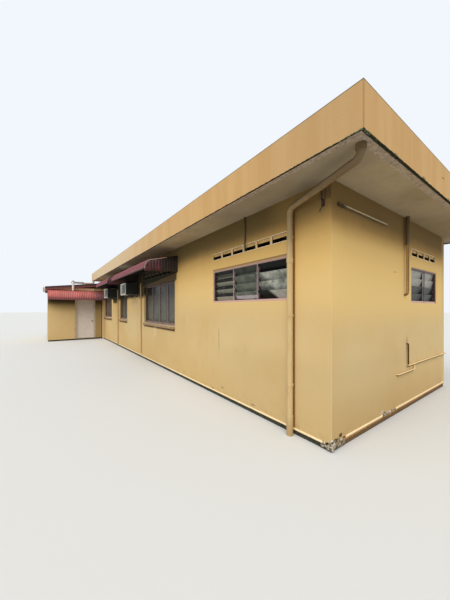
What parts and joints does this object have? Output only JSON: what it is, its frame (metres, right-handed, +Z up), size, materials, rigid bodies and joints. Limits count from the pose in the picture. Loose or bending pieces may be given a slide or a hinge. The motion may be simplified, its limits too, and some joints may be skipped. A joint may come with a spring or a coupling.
{
  "type": "bungalow",
  "caption": "Single-storey bungalow, long flat-roofed block with a deep plastered fascia, louvre and casement windows, metal awnings and a low cross wing with a hinged door.",
  "frame": {"origin": "middle of the overall footprint, on the ground", "axes": "+X along the long wall towards the end wall with the louvre window, -Y out of the long wall with the awnings, +Z up"},
  "size_m": [16.923, 7.297, 3.422],
  "materials": {
    "wall_plaster": "painted plaster, matt",
    "fascia_plaster": "painted plaster, weathered",
    "soffit_concrete": "painted concrete, stained",
    "floor_concrete": "concrete, damp stained",
    "sill_plaster": "painted concrete",
    "window_paint": "dark brown paint",
    "clear_glass": "clear",
    "awning_paint": "maroon paint, faded",
    "wing_awning_paint": "red paint, faded",
    "steel_paint": "painted steel",
    "cooler_case": "off-white, matt",
    "pipe_paint": "painted pipe, weathered",
    "lamp_white": "white enamel",
    "lamp_glass": "milky",
    "roof_sheet": "brown red sheet",
    "barge_paint": "red brown paint",
    "white_plastic": "white, chalky",
    "frame_paint": "cream paint",
    "door_paint": "off-white paint",
    "dark_knob": "dark bronze",
    "hinge_steel": "steel"
  },
  "bodies": {
    "building": {"front_wall": "wall_plaster", "back_wall": "wall_plaster", "end_wall": "wall_plaster", "inner_wall": "wall_plaster", "wing_wall_left": "wall_plaster", "wing_wall_right": "wall_plaster", "wing_wall_over_door": "wall_plaster", "wing_side_wall": "wall_plaster", "wing_back_wall": "wall_plaster", "wing_far_wall": "wall_plaster", "fascia_front": "fascia_plaster", "fascia_back": "fascia_plaster", "fascia_end": "fascia_plaster", "fascia_far": "fascia_plaster", "roof_slab": "soffit_concrete", "floor_slab": "floor_concrete", "wing_floor_slab": "floor_concrete", "window_sills": "sill_plaster", "window_frames": "window_paint", "louvre_frames": "window_paint", "window_glass": "clear_glass", "louvre_blades": "clear_glass", "near_awning_sheet": "awning_paint", "far_awning_sheet": "awning_paint", "awning_cheeks": "awning_paint", "wing_awning_sheet": "wing_awning_paint", "awning_frames": "steel_paint", "cooler_brackets": "steel_paint", "near_cooler": "cooler_case", "far_cooler": "cooler_case", "downpipe": "pipe_paint", "drain_pipes": "pipe_paint", "pipe_clips": "pipe_paint", "end_pipe": "pipe_paint", "water_pipe": "pipe_paint", "conduits": "pipe_paint", "lamp_body": "lamp_white", "lamp_tube": "lamp_glass", "wing_roof": "roof_sheet", "bargeboards": "barge_paint", "wing_gutters": "white_plastic", "roof_water_pipe": "white_plastic", "door_frame": "frame_paint", "frame_hinges": "hinge_steel"},
    "door": {"door_leaf": "door_paint", "door_knobs": "dark_knob", "leaf_hinges": "hinge_steel"}
  },
  "joints": [
    {"name": "door_hinge", "type": "hinge", "parent": "building", "child": "door", "pos_m": [-5.4795, -2.2635, 1.05], "axis": [0, 0, 1], "range_deg": [0, 100]}
  ]
}
